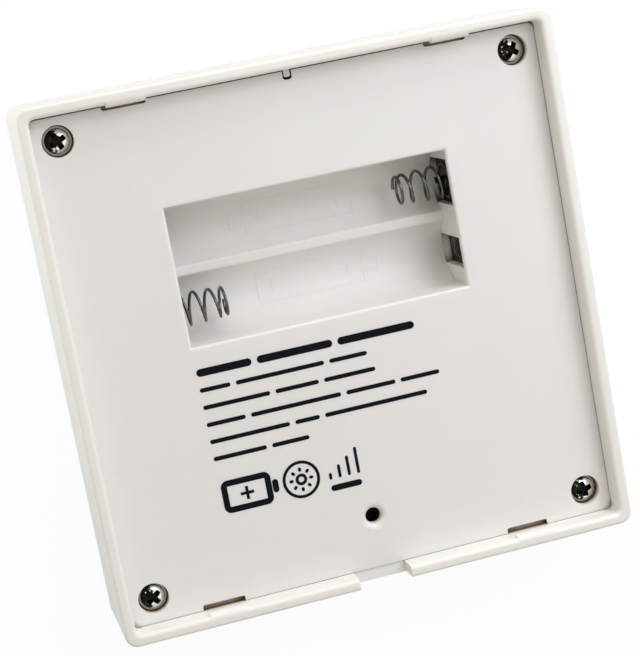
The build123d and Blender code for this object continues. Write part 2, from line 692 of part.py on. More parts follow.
NODES = {
    "front_frame": make_front_frame(),
    "rear_cover": make_rear_cover(),
    "cover_screws": Compound(children=make_cover_screws()),
    "link_contact": make_link_contact(),
    "positive_contact": make_positive_contact(),
    "negative_contact": make_negative_contact(),
    "upper_cell_spring": make_spring(UPPER_Y),
    "lower_cell_spring": Rot(0, 0, 180) * make_spring(-LOWER_Y),
    "touch_panel": make_touch_panel(),
    "panel_adhesive": make_panel_adhesive(),
    "circuit_board": make_circuit_board(),
    "radio_chip": make_radio_chip(),
    "touch_chip": make_touch_chip(),
    "crystal": make_crystal(),
    "buzzer": make_buzzer(),
    "indicator_led": make_indicator_led(),
    "bulk_capacitor": make_bulk_capacitor(),
    "chip_capacitors": Compound(children=chip_row(RADIO_X, CAPACITOR_ROW_Y, CAPACITOR_HEIGHT)),
    "chip_resistors": Compound(children=chip_row(TOUCH_X, RESISTOR_ROW_Y, RESISTOR_HEIGHT)),
}

os.makedirs("parts", exist_ok=True)
for name, shape in NODES.items():
    export_step(shape, f"parts/{name}.step")
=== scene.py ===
import json
import math

import bmesh
import bpy
from mathutils import Matrix, Vector


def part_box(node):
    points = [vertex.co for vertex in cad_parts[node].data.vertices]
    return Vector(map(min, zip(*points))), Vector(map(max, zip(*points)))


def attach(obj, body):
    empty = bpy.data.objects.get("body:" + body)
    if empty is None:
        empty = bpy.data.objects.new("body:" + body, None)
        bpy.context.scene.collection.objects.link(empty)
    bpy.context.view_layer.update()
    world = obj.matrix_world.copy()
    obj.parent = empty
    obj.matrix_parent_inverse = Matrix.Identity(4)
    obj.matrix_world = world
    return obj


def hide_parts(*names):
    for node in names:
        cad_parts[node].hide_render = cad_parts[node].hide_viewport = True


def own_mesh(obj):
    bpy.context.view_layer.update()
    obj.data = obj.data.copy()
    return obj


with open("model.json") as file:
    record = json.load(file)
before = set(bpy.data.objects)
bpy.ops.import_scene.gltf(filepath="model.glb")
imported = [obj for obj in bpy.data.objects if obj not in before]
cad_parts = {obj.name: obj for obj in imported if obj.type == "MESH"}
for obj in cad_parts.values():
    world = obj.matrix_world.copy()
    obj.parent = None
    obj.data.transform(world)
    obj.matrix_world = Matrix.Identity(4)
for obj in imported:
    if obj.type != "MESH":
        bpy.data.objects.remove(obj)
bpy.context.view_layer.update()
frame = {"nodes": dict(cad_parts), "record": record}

# The back of a battery-powered wall touch panel, dressed around its solids. Lengths are metres.
MM = 0.001

# Places read from the solids
COVER_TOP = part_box("rear_cover")[1].z
WELL_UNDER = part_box("rear_cover")[0].z
LINK_LOW, LINK_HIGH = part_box("link_contact")
POSITIVE_LOW, POSITIVE_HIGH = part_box("positive_contact")
NEGATIVE_LOW, NEGATIVE_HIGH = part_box("negative_contact")
SCREWS_LOW, SCREWS_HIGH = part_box("cover_screws")

# Battery well
SHEET_THICKNESS = 0.3 * MM
AXIS_BELOW_CONTACT_TOP = 4.9 * MM
WELL_FLOOR_THICKNESS = 0.9 * MM
UPPER_Y = (POSITIVE_LOW.y + POSITIVE_HIGH.y) / 2
LOWER_Y = (NEGATIVE_LOW.y + NEGATIVE_HIGH.y) / 2
CELL_AXIS_Z = LINK_HIGH.z - AXIS_BELOW_CONTACT_TOP
BAY_R = CELL_AXIS_Z - WELL_UNDER - WELL_FLOOR_THICKNESS
CONTACT_FACE = LINK_HIGH.x - SHEET_THICKNESS

# Contact springs
WIRE_D = 0.5 * MM
SPRING_LENGTH = 9.2 * MM
SPRING_BASE_D = 6.2 * MM
SPRING_TIP_D = 4.8 * MM
SPRING_TURNS = 5
SPRING_CLOSED_TURNS = 1.0
SPRING_CLOSED_PITCH = 0.6 * MM
SPRING_SEAT_GAP = 0.03 * MM
SPRING_STEPS_PER_TURN = 40
WIRE_SIDES = 12

# Cover screws
FLANGE_R = 2.4 * MM
FLANGE_THICKNESS = 0.4 * MM
HEAD_R = 1.85 * MM
HEAD_SIDE = 0.45 * MM
HEAD_HEIGHT = 1.1 * MM
HEAD_EDGE = 0.12 * MM
SHANK_R = 1.1 * MM
SHANK_ROOT_R = 0.86 * MM
SHANK_LENGTH = 7.0 * MM
SHANK_TIP_LENGTH = 1.0 * MM
SHANK_TIP_R = 0.4 * MM
THREAD_PITCH = 0.8 * MM
THREAD_STEPS = 80
THREAD_FLANK = 0.3
SCREW_SIDES = 48
CROWN_RISE = HEAD_HEIGHT - HEAD_SIDE
CROWN_R = (HEAD_R**2 + CROWN_RISE**2) / (2 * CROWN_RISE)
SCREW_X = SCREWS_HIGH.x - FLANGE_R
SCREW_Y = SCREWS_HIGH.y - FLANGE_R
SCREW_SEAT_Z = SCREWS_LOW.z + SHANK_LENGTH
CROSS_DEPTH = 0.95 * MM
CROSS_LENGTH = (3.7 * MM, 1.7 * MM)
CROSS_WIDTH = (1.08 * MM, 0.6 * MM)
CROSS_CUP_R = (0.8 * MM, 0.3 * MM)
SCREW_TURNS = {(-1, 1): 24, (1, 1): -32, (-1, -1): 38, (1, -1): 12}

# Raised cell outlines on the floors of the bays
MARK_LENGTH = 18.0 * MM
MARK_WIDTH = 4.9 * MM
MARK_NUB_LENGTH = 2.6 * MM
MARK_NUB_WIDTH = 2.2 * MM
MARK_SIGN = 1.8 * MM
MARK_LINE = 0.34 * MM
MARK_TOP_HALF = 0.3
MARK_HEIGHT = 0.06 * MM
MARK_SINK = 0.05 * MM
MARK_STEP = 0.3 * MM

# Print on the cover: rows of plain bars and three simple signs
INK_HEIGHT = 0.012 * MM
INK_SINK = 0.004 * MM
PRINT_LEFT = -23.2 * MM
PRINT_TOP = -3.0 * MM
ROW_PITCH = 2.83 * MM
ROW_BARS_MM = (
    (9.0, 12.5, 12.9),
    (5.0, 14.6, 6.3),
    (11.0, 7.2, 8.6),
    (6.4, 15.0, 8.3, 6.6),
    (13.2, 4.1, 17.3),
    (8.8, 6.2),
)
BAR_GAP = 0.9 * MM
TITLE_HEIGHT = 1.25 * MM
BAR_HEIGHT = 0.7 * MM
SIGN_Y = -23.7 * MM
CELL_SIGN_X = -18.9 * MM
CELL_SIGN_SIZE = (7.2 * MM, 4.4 * MM)
SUN_SIGN_X = -9.9 * MM
SUN_SIGN_R = 2.85 * MM
SUN_RAYS = 8
SUN_RAY_REACH = 0.58
LEVEL_SIGN_X = -2.75 * MM
LEVEL_SIGN_SIZE = (5.2 * MM, 6.4 * MM)
LEVEL_BARS = 4
BOLD_LINE = 1.0 * MM
FINE_LINE = 0.5 * MM
BOX_INNER_R = 0.15 * MM
SIGN_GAP = 0.1 * MM
ARC_STEPS = 8
SHARP_ANGLE = math.radians(32)

# Marks on the touch face, which the photograph doesn't show
RING_Y = 12 * MM
RING_R = 11 * MM
RING_LINE = 0.7 * MM
DOT_R = 1.1 * MM
SLIDER_Y = -22 * MM
SLIDER_LENGTH = 44 * MM
SLIDER_LINE = 0.7 * MM

# Light that goes into the white plastic and comes out warmer
GLOW_SHARE = 0.4
GLOW_REACH = (1.0, 0.72, 0.38)
GLOW_DEPTH = 1.4 * MM

# Finishes: sizes of their lumps, depths of their bumps, and how closed a place is where painted shade
# begins
OPEN_SAMPLES = 8
PLASTIC_IOR = 1.49
RESIN_IOR = 1.5
INK_IOR = 1.12
MOTTLE_SIZE = 22 * MM
SHEEN_SIZE = 4 * MM
GRAIN_SIZE = 0.25 * MM
GRAIN_DEPTH = 0.004 * MM
GAP_SHADE_REACH = 2.0 * MM
GAP_SHADE_OPEN = (0.32, 0.5)
CLOUD_SIZE = 0.9 * MM
STREAK_SIZE = 0.12 * MM
STREAK_DEPTH = 0.004 * MM
RECESS_SHADE_OPEN = (0.35, 0.85)
RECESS_SHADE_BELOW_DOME = (0.05 * MM, 0.2 * MM)
SHADED_SIDE_PATCH_SIZE = 0.55 * MM
SHADED_SIDE_PATCH_SPREAD = 0.4
SHADED_SIDE_LEAN = (-0.16, -0.08)
INK_BREAK_SIZE = 0.16 * MM
INK_SHEEN_SIZE = 0.3 * MM
FACE_MOTTLE_SIZE = 30 * MM
FACE_SHEEN_SIZE = 9 * MM
TRACK_PITCH = 3.2 * MM
TRACK_HEIGHT = 0.03 * MM
MASK_SHEEN_SIZE = 1.5 * MM
RESIN_CLOUD_SIZE = 0.5 * MM
RESIN_SHEEN_SIZE = 0.2 * MM
RESIN_GRIT_SIZE = 0.08 * MM
RESIN_GRIT_DEPTH = 0.006 * MM

# Camera, from the photograph's view
CAMERA_PLACE = Vector((-0.063566, 0.055542, 0.313157))
CAMERA_FORWARD = Vector((0.19801, -0.18018, -0.96350))
CAMERA_UP = Vector((0.21716, 0.96660, -0.13613))
SENSOR_MM = 36.0
LENS_MM = 106.51
CAMERA_NEAR = 0.01

# Light and floor
KEY_PLACE = Vector((0.155, 0.155, 0.235))
KEY_SIZE = (0.2, 0.2)
KEY_POWER = 0.51
KEY_COLOUR = (0.87, 0.89, 1.0)
TOP_PLACE = Vector((0.13, 0.91, 0.312))
TOP_SIZE = (0.52, 0.52)
TOP_POWER = 2.75
TOP_COLOUR = (0.985, 1.0, 0.95)
SIDE_PLACE = Vector((-0.13, 0.05, 0.008))
SIDE_SIZE = (0.1, 0.014)
SIDE_POWER = 0.039
SIDE_COLOUR = (1.0, 1.0, 1.0)
SKY_LIGHT = (0.51, 0.493, 0.458, 1.0)
FLOOR_HALF = 3.0
FLOOR_WINDOW_HALF = 0.04
FLOOR_COLOUR = (0.55, 0.55, 0.55, 1.0)
FLOOR_ROUGH = 0.9
FLOOR_SEEN = 0.85
FLOOR_WHITE = 1.09
WHITE = (1.0, 1.0, 1.0, 1.0)


class Shader:
    """A node material: adds nodes, links them and ends in one principled shader."""

    def __init__(self, name, **sockets):
        self.material = bpy.data.materials.new(name)
        self.material.use_nodes = True
        self.tree = self.material.node_tree
        self.surface = self.tree.nodes["Principled BSDF"]
        for socket, value in sockets.items():
            self.surface.inputs[socket.replace("_", " ")].default_value = value
        coordinates = self.add("ShaderNodeTexCoord")
        self.place = coordinates.outputs["Object"]
        self.facing = coordinates.outputs["Normal"]

    def add(self, kind, **inputs):
        """A new node with its inputs set to values or linked to sockets."""
        node = self.tree.nodes.new(kind)
        for name, value in inputs.items():
            self.feed(node.inputs[name.replace("_", " ")], value)
        return node

    def feed(self, socket, value):
        if isinstance(value, bpy.types.NodeSocket):
            self.tree.links.new(value, socket)
        else:
            socket.default_value = value

    def finish(self, **sockets):
        """Feeds the shader and gives the material back."""
        for name, value in sockets.items():
            self.feed(self.surface.inputs[name.replace("_", " ")], value)
        return self.material

    def stretched(self, scale):
        """Object coordinates scaled by a different amount on each axis."""
        return self.add("ShaderNodeMapping", Vector=self.place, Scale=scale).outputs["Vector"]

    def noise(self, size, detail=2.0, place=None):
        """Soft noise whose lumps are about one size across."""
        where = place or self.place
        node = self.add("ShaderNodeTexNoise", Vector=where, Scale=1.0 / size, Detail=detail)
        return node.outputs["Fac"]

    def math(self, operation, a, b=0.0):
        node = self.tree.nodes.new("ShaderNodeMath")
        node.operation = operation
        self.feed(node.inputs[0], a)
        self.feed(node.inputs[1], b)
        return node.outputs["Value"]

    def spread(self, value, low, high, start=0.3, end=0.7):
        """A value stretched from the range start to end onto the range low to high."""
        node = self.add("ShaderNodeMapRange", Value=value)
        node.inputs["From Min"].default_value = start
        node.inputs["From Max"].default_value = end
        node.inputs["To Min"].default_value = low
        node.inputs["To Max"].default_value = high
        return node.outputs["Result"]

    def blend(self, share, first, second):
        """A colour between two colours."""
        node = self.tree.nodes.new("ShaderNodeMix")
        node.data_type = "RGBA"
        for index, value in ((0, share), (6, first), (7, second)):
            self.feed(node.inputs[index], value)
        return node.outputs[2]

    def open_share(self, reach):
        """How open a place is: 1 on an open face, towards 0 deep in a gap."""
        node = self.tree.nodes.new("ShaderNodeAmbientOcclusion")
        node.samples = OPEN_SAMPLES
        node.inputs["Distance"].default_value = reach
        return node.outputs["AO"]

    def bump(self, height, depth, strength):
        node = self.add("ShaderNodeBump", Height=height, Distance=depth, Strength=strength)
        return node.outputs["Normal"]


def moulded_plastic(name, tones, gap_shade_tone, rough, glow):
    """Satin moulded plastic that lets some warm light through: soft mottle, fine grain, and painted brown
    shade in narrow gaps.
    """
    s = Shader(name, IOR=PLASTIC_IOR, Subsurface_Radius=GLOW_REACH, Subsurface_Scale=GLOW_DEPTH)
    mottle = s.spread(s.noise(MOTTLE_SIZE, 3.0), 0.0, 1.0)
    colour = s.blend(mottle, tones[0], tones[1])
    # Painted shade: where the place is closed in (gaps, slots and corners), the colour turns to the dark
    # brown shade tone and less light goes through.
    depth = s.spread(s.open_share(GAP_SHADE_REACH), 1.0, 0.0, *GAP_SHADE_OPEN)
    colour = s.blend(depth, colour, gap_shade_tone)
    through = s.spread(depth, glow, 0.0, 0.0, 1.0)
    roughness = s.spread(s.noise(SHEEN_SIZE), rough - 0.05, rough + 0.06)
    grain = s.bump(s.noise(GRAIN_SIZE, 3.0), GRAIN_DEPTH, 0.35)
    return s.finish(Base_Color=colour, Subsurface_Weight=through, Roughness=roughness, Normal=grain)


def plated_metal(name, tones, rough, streak, reach):
    """Nickel plate: cloudy tone, fine drawing lines along one axis, and the third tone painted as shade
    down in recesses.
    """
    s = Shader(name, Metallic=1.0)
    cloud = s.spread(s.noise(CLOUD_SIZE, 3.0), 0.0, 1.0)
    colour = s.blend(cloud, tones[0], tones[1])
    # Painted shade: where the place is closed in, the colour turns to the third tone.
    depth = s.spread(s.open_share(reach), 1.0, 0.0, *RECESS_SHADE_OPEN)
    colour = s.blend(depth, colour, tones[2])
    lines = s.noise(STREAK_SIZE, 2.0, s.stretched(streak))
    roughness = s.spread(lines, rough - 0.08, rough + 0.12)
    scratch = s.bump(lines, STREAK_DEPTH, 0.25)
    return s.finish(Base_Color=colour, Roughness=roughness, Normal=scratch)


def screw_plate(name, crown_reflection_tones, flange_shade_tones, recess_shade_tone):
    """Nickel plate on a screw, with painted light and shade: a dome painted as a bright reflection and
    nearly black on the side facing -X, painted black shade in the cross recess, and a flange painted darker
    as shade.
    """
    s = Shader(name, Metallic=1.0)
    axes = s.add("ShaderNodeSeparateXYZ", Vector=s.place)
    off_x = s.math("SUBTRACT", s.math("ABSOLUTE", axes.outputs["X"]), SCREW_X)
    off_y = s.math("SUBTRACT", s.math("ABSOLUTE", axes.outputs["Y"]), SCREW_Y)
    from_axis = s.math("ADD", s.math("MULTIPLY", off_x, off_x), s.math("MULTIPLY", off_y, off_y))
    # Painted shade: on the head, below the dome's surface (in the cross recess), the colour turns nearly
    # black.
    rise = s.math("SQRT", s.math("SUBTRACT", CROWN_R**2, from_axis))
    dome = s.math("ADD", rise, SCREW_SEAT_Z + FLANGE_THICKNESS + HEAD_HEIGHT - CROWN_R)
    below_dome = s.math("SUBTRACT", dome, axes.outputs["Z"])
    above_flange = s.math("SUBTRACT", axes.outputs["Z"], SCREW_SEAT_Z + FLANGE_THICKNESS)
    on_head = s.math("GREATER_THAN", above_flange, HEAD_EDGE / 2)
    recess = s.math("MULTIPLY", s.spread(below_dome, 0.0, 1.0, *RECESS_SHADE_BELOW_DOME), on_head)
    # Painted reflection and shade: the dome is bright where its normal points away from -X and nearly black
    # where it points towards -X, in noise patches.
    facing = s.add("ShaderNodeSeparateXYZ", Vector=s.facing)
    patches = s.spread(s.noise(SHADED_SIDE_PATCH_SIZE, 2.0), -SHADED_SIDE_PATCH_SPREAD, SHADED_SIDE_PATCH_SPREAD)
    lean = s.math("ADD", facing.outputs["X"], patches)
    painted_dark_side = s.spread(lean, 1.0, 0.0, *SHADED_SIDE_LEAN)
    crown = s.blend(painted_dark_side, crown_reflection_tones[0], crown_reflection_tones[1])
    # Painted shade: the flange, sunk in its recess, is coloured dark grey for its shade.
    cloud = s.spread(s.noise(CLOUD_SIZE, 3.0), 0.0, 1.0)
    flange = s.blend(cloud, flange_shade_tones[0], flange_shade_tones[1])
    colour = s.blend(on_head, flange, crown)
    colour = s.blend(recess, colour, recess_shade_tone)
    roughness = s.spread(s.noise(STREAK_SIZE), 0.14, 0.3)
    return s.finish(Base_Color=colour, Roughness=roughness)


def printed_ink(name, tone, worn_tone):
    """Screen-printed ink with a slightly broken surface."""
    s = Shader(name, IOR=INK_IOR)
    breaks = s.spread(s.noise(INK_BREAK_SIZE, 2.0), 0.0, 0.25, 0.55, 0.75)
    colour = s.blend(breaks, tone, worn_tone)
    roughness = s.spread(s.noise(INK_SHEEN_SIZE), 0.42, 0.6)
    return s.finish(Base_Color=colour, Roughness=roughness)


def ring_share(s, across, radius, line):
    """1 on a ring about the middle, 0 elsewhere, from a distance to the middle."""
    off = s.math("ABSOLUTE", s.math("SUBTRACT", across, radius))
    return s.math("LESS_THAN", off, line / 2)


def touch_face(name, tones, mark_tone):
    """Glossy front sheet with a plain ring, a dot and a slider line printed under its gloss."""
    s = Shader(name, IOR=RESIN_IOR, Coat_Weight=0.6, Coat_Roughness=0.04)
    axes = s.add("ShaderNodeSeparateXYZ", Vector=s.place)
    x, y = axes.outputs["X"], axes.outputs["Y"]
    shifted = s.math("SUBTRACT", y, RING_Y)
    from_middle = s.math(
        "SQRT", s.math("ADD", s.math("MULTIPLY", x, x), s.math("MULTIPLY", shifted, shifted))
    )
    ring = ring_share(s, from_middle, RING_R, RING_LINE)
    dot = s.math("LESS_THAN", from_middle, DOT_R)
    slider_y = s.math("ABSOLUTE", s.math("SUBTRACT", y, SLIDER_Y))
    slider_x = s.math("ABSOLUTE", x)
    slider = s.math(
        "MULTIPLY",
        s.math("LESS_THAN", slider_y, SLIDER_LINE / 2),
        s.math("LESS_THAN", slider_x, SLIDER_LENGTH / 2),
    )
    marks = s.math("MAXIMUM", s.math("MAXIMUM", ring, dot), slider)
    mottle = s.spread(s.noise(FACE_MOTTLE_SIZE, 2.0), 0.0, 1.0)
    ground = s.blend(mottle, tones[0], tones[1])
    colour = s.blend(marks, ground, mark_tone)
    roughness = s.spread(s.noise(FACE_SHEEN_SIZE, 3.0), 0.07, 0.16)
    return s.finish(Base_Color=colour, Roughness=roughness)


def solder_mask(name, mask_tone, track_tone):
    """Board with masked copper tracks that stand a little proud."""
    s = Shader(name, IOR=RESIN_IOR)
    cells = s.add("ShaderNodeTexVoronoi", Vector=s.place, Scale=1.0 / TRACK_PITCH)
    cells.feature = "DISTANCE_TO_EDGE"
    track = s.spread(cells.outputs["Distance"], 1.0, 0.0, 0.05, 0.09)
    colour = s.blend(track, mask_tone, track_tone)
    roughness = s.spread(s.noise(MASK_SHEEN_SIZE), 0.28, 0.42)
    relief = s.bump(track, TRACK_HEIGHT, 0.5)
    return s.finish(Base_Color=colour, Roughness=roughness, Normal=relief)


def moulded_resin(name, tones, rough):
    """Small electronic parts: resin or ceramic with a fine gritty surface."""
    s = Shader(name, IOR=RESIN_IOR)
    cloud = s.spread(s.noise(RESIN_CLOUD_SIZE, 3.0), 0.0, 1.0)
    colour = s.blend(cloud, tones[0], tones[1])
    roughness = s.spread(s.noise(RESIN_SHEEN_SIZE), rough - 0.06, rough + 0.08)
    grit = s.bump(s.noise(RESIN_GRIT_SIZE), RESIN_GRIT_DEPTH, 0.5)
    return s.finish(Base_Color=colour, Roughness=roughness, Normal=grit)


def materials():
    """Every finish of the part, by the record's slot names, and those of the raised marks and the print."""
    # Painted shade tone for the plastics' gaps and slots.
    gap_shade_brown = (0.24, 0.148, 0.03, 1.0)
    frame_tones = ((0.855, 0.838, 0.80, 1.0), (0.875, 0.858, 0.82, 1.0))
    cover_tones = ((0.833, 0.806, 0.778, 1.0), (0.853, 0.826, 0.798, 1.0))
    return {
        "frame_plastic": moulded_plastic("frame_plastic", frame_tones, gap_shade_brown, 0.42, GLOW_SHARE),
        "cover_plastic": moulded_plastic("cover_plastic", cover_tones, gap_shade_brown, 0.46, GLOW_SHARE),
        "mark_plastic": moulded_plastic("mark_plastic", cover_tones, gap_shade_brown, 0.46, 0.0),
        "screw_steel": screw_plate(
            "screw_steel",
            # Dome tones: painted bright reflection, then painted dark side.
            ((0.86, 0.84, 0.79, 1.0), (0.02, 0.018, 0.015, 1.0)),
            # Painted shade tones for the flange.
            ((0.26, 0.25, 0.22, 1.0), (0.16, 0.15, 0.13, 1.0)),
            # Painted shade tone for the cross recess.
            (0.01, 0.009, 0.008, 1.0),
        ),
        # Painted shade: the nickel contact sheets are coloured nearly black for the shade they sit in; the
        # third tone is the painted shade in recesses.
        "contact_metal": plated_metal(
            "contact_metal",
            ((0.05, 0.046, 0.04, 1.0), (0.018, 0.016, 0.014, 1.0), (0.005, 0.004, 0.003, 1.0)),
            0.28,
            (1.0, 1.0, 0.1),
            1.5 * MM,
        ),
        # Painted reflection: the nickel spring wire is coloured dark grey for the dark surroundings it
        # would reflect; the third tone is the painted shade in recesses.
        "spring_wire": plated_metal(
            "spring_wire",
            ((0.16, 0.15, 0.13, 1.0), (0.08, 0.074, 0.064, 1.0), (0.012, 0.01, 0.008, 1.0)),
            0.17,
            (1.0, 1.0, 1.0),
            0.8 * MM,
        ),
        "panel_face": touch_face(
            "panel_face",
            ((0.88, 0.88, 0.87, 1.0), (0.8536, 0.8536, 0.8439, 1.0)),
            (0.32, 0.33, 0.35, 1.0),
        ),
        "adhesive_sheet": moulded_resin(
            "adhesive_sheet", ((0.62, 0.62, 0.58, 1.0), (0.70, 0.70, 0.66, 1.0)), 0.6
        ),
        "board_laminate": solder_mask(
            "board_laminate", (0.012, 0.06, 0.03, 1.0), (0.03, 0.14, 0.06, 1.0)
        ),
        "chip_resin": moulded_resin(
            "chip_resin", ((0.012, 0.012, 0.013, 1.0), (0.03, 0.03, 0.03, 1.0)), 0.5
        ),
        "crystal_can": plated_metal(
            "crystal_can",
            ((0.72, 0.71, 0.68, 1.0), (0.62, 0.61, 0.58, 1.0), (0.2, 0.2, 0.2, 1.0)),
            0.28,
            (1.0, 0.1, 1.0),
            0.5 * MM,
        ),
        "buzzer_resin": moulded_resin(
            "buzzer_resin", ((0.015, 0.015, 0.016, 1.0), (0.04, 0.04, 0.04, 1.0)), 0.46
        ),
        "lamp_resin": moulded_resin(
            "lamp_resin", ((0.80, 0.78, 0.60, 1.0), (0.86, 0.85, 0.74, 1.0)), 0.3
        ),
        "capacitor_can": plated_metal(
            "capacitor_can",
            ((0.76, 0.76, 0.77, 1.0), (0.66, 0.66, 0.68, 1.0), (0.2, 0.2, 0.2, 1.0)),
            0.3,
            (1.0, 1.0, 0.1),
            0.5 * MM,
        ),
        "capacitor_ceramic": moulded_resin(
            "capacitor_ceramic", ((0.36, 0.24, 0.13, 1.0), (0.45, 0.32, 0.19, 1.0)), 0.45
        ),
        "resistor_ceramic": moulded_resin(
            "resistor_ceramic", ((0.02, 0.02, 0.024, 1.0), (0.06, 0.06, 0.066, 1.0)), 0.4
        ),
        "print_ink": printed_ink("print_ink", (0.004, 0.005, 0.008, 1.0), (0.12, 0.12, 0.13, 1.0)),
    }


def dress_solids(finishes):
    """Gives every solid the finish of its material slot."""
    for row in frame["record"]["subparts"]:
        mesh = frame["nodes"][row["node"]].data
        mesh.materials.clear()
        mesh.materials.append(finishes[row["material_slot"]])


def skin(bm, rings):
    """A closed tube through rings of points, which turn counter-clockwise about the way they go."""
    loops = [[bm.verts.new(point) for point in ring] for ring in rings]
    count = len(loops[0])
    for low, high in zip(loops, loops[1:]):
        for n in range(count):
            following = (n + 1) % count
            bm.faces.new((low[n], low[following], high[following], high[n]))
    bm.faces.new(list(reversed(loops[0])))
    bm.faces.new(loops[-1])


def mesh_object(name, bm):
    """A new object from a mesh under construction, smooth but for its sharp edges."""
    mesh = bpy.data.meshes.new(name)
    bm.normal_update()
    bm.to_mesh(mesh)
    bm.free()
    mesh.shade_smooth()
    mesh.set_sharp_from_angle(angle=SHARP_ANGLE)
    piece = bpy.data.objects.new(name, mesh)
    bpy.context.scene.collection.objects.link(piece)
    return piece


def settle(piece, material):
    """Gives a piece its finish and fixes it to the housing."""
    piece.data.materials.append(material)
    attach(piece, "housing")
    return piece


def circle(radius, z, sides):
    """Points of a level circle about the Z axis, counter-clockwise from above."""
    angles = [2 * math.pi * n / sides for n in range(sides)]
    return [Vector((radius * math.cos(a), radius * math.sin(a), z)) for a in angles]


def spring_rise(share):
    """Height of the wire's middle along the spring, close-wound at both ends."""
    open_turns = SPRING_TURNS - 2 * SPRING_CLOSED_TURNS
    open_rise = SPRING_LENGTH - WIRE_D - 2 * SPRING_CLOSED_TURNS * SPRING_CLOSED_PITCH
    opened = min(max(SPRING_TURNS * share - SPRING_CLOSED_TURNS, 0.0), open_turns)
    closed = SPRING_TURNS * share - opened
    return SPRING_SEAT_GAP + WIRE_D / 2 + SPRING_CLOSED_PITCH * closed + open_rise * opened / open_turns


def spring_point(share, y, side):
    """Middle of the wire at a share of its length; side is 1 at the right end of the well."""
    base_r = (SPRING_BASE_D - WIRE_D) / 2
    tip_r = (SPRING_TIP_D - WIRE_D) / 2
    radius = base_r + (tip_r - base_r) * share
    angle = 2 * math.pi * SPRING_TURNS * share
    return Vector((
        side * (CONTACT_FACE - spring_rise(share)),
        y - side * radius * math.sin(angle),
        CELL_AXIS_Z - radius * math.cos(angle),
    ))


def make_spring(name, node, y, side, material):
    """One wire coil standing out from its contact along the cell's axis."""
    steps = SPRING_TURNS * SPRING_STEPS_PER_TURN
    middles = [spring_point(step / steps, y, side) for step in range(steps + 1)]
    axis = Vector((0, y, CELL_AXIS_Z))
    rings = []
    for n, middle in enumerate(middles):
        along = (middles[min(n + 1, steps)] - middles[max(n - 1, 0)]).normalized()
        outward = Vector((0, middle.y, middle.z)) - axis
        outward = (outward - outward.dot(along) * along).normalized()
        across = along.cross(outward)
        ring = []
        for k in range(WIRE_SIDES):
            angle = 2 * math.pi * k / WIRE_SIDES
            ring.append(middle + WIRE_D / 2 * (math.cos(angle) * outward + math.sin(angle) * across))
        rings.append(ring)
    bm = bmesh.new()
    skin(bm, rings)
    spring = settle(mesh_object(name, bm), material)
    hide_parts(node)
    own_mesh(spring)
    return spring


def head_rings():
    """Rings of a screw's flange and domed head, from the underside up."""
    head_top = FLANGE_THICKNESS + HEAD_HEIGHT
    profile = [
        (SHANK_R, 0),
        (FLANGE_R - HEAD_EDGE, 0),
        (FLANGE_R, HEAD_EDGE),
        (FLANGE_R, FLANGE_THICKNESS - HEAD_EDGE),
        (FLANGE_R - HEAD_EDGE, FLANGE_THICKNESS),
        (HEAD_R + HEAD_EDGE, FLANGE_THICKNESS),
        (HEAD_R, FLANGE_THICKNESS + HEAD_EDGE),
    ]
    for step in range(ARC_STEPS + 1):
        radius = HEAD_R * (1 - step / (ARC_STEPS + 1))
        profile.append((radius, head_top - CROWN_R + math.sqrt(CROWN_R**2 - radius**2)))
    return [circle(radius, z, SCREW_SIDES) for radius, z in profile]


def shank_rings():
    """Rings of the threaded shank, from its tip up to the flange."""
    rings = []
    for step in range(THREAD_STEPS + 1):
        z = SHANK_LENGTH * (step / THREAD_STEPS - 1)
        taper = min(1.0, (z + SHANK_LENGTH) / SHANK_TIP_LENGTH)
        ring = []
        for n, point in enumerate(circle(1.0, z, SCREW_SIDES)):
            turn = (z / THREAD_PITCH - n / SCREW_SIDES) % 1.0
            crest = max(0.0, 1 - abs(turn - 0.5) / THREAD_FLANK)
            radius = SHANK_ROOT_R + (SHANK_R - SHANK_ROOT_R) * crest
            radius = SHANK_TIP_R + (radius - SHANK_TIP_R) * taper
            ring.append(Vector((radius * point.x, radius * point.y, z)))
        rings.append(ring)
    return rings


def rectangle(length, width, z):
    """Corners of a level rectangle about the Z axis."""
    half_x, half_y = length / 2, width / 2
    return [Vector((x * half_x, y * half_y, z)) for x, y in ((-1, -1), (1, -1), (1, 1), (-1, 1))]


def cross_cutters():
    """The tapering arms and the middle cup of a cross recess, as cutting objects."""
    head_top = FLANGE_THICKNESS + HEAD_HEIGHT
    floor = head_top - CROSS_DEPTH
    above = head_top + CROSS_DEPTH / 4
    arm_rings = [
        rectangle(CROSS_LENGTH[1], CROSS_WIDTH[1], floor),
        rectangle(CROSS_LENGTH[0], CROSS_WIDTH[0], above),
    ]
    quarter = Matrix.Rotation(math.pi / 2, 3, "Z")
    turned_rings = [[quarter @ point for point in ring] for ring in arm_rings]
    cup_sides = SCREW_SIDES // 2
    cup_rings = [circle(CROSS_CUP_R[1], floor, cup_sides), circle(CROSS_CUP_R[0], above, cup_sides)]
    cutters = []
    for name, rings in (("cut_arm", arm_rings), ("cut_cross_arm", turned_rings), ("cut_cup", cup_rings)):
        bm = bmesh.new()
        skin(bm, rings)
        cutters.append(mesh_object(name, bm))
    return cutters


def cut_head():
    """The mesh of one screw head with its cross recess cut out."""
    bm = bmesh.new()
    skin(bm, head_rings())
    head = mesh_object("screw_head", bm)
    cutters = cross_cutters()
    for cutter in cutters:
        cut = head.modifiers.new(cutter.name, "BOOLEAN")
        cut.operation = "DIFFERENCE"
        cut.solver = "EXACT"
        cut.object = cutter
    bpy.context.view_layer.update()
    depsgraph = bpy.context.evaluated_depsgraph_get()
    mesh = bpy.data.meshes.new_from_object(head.evaluated_get(depsgraph))
    for scrap in [head] + cutters:
        bpy.data.objects.remove(scrap)
    return mesh


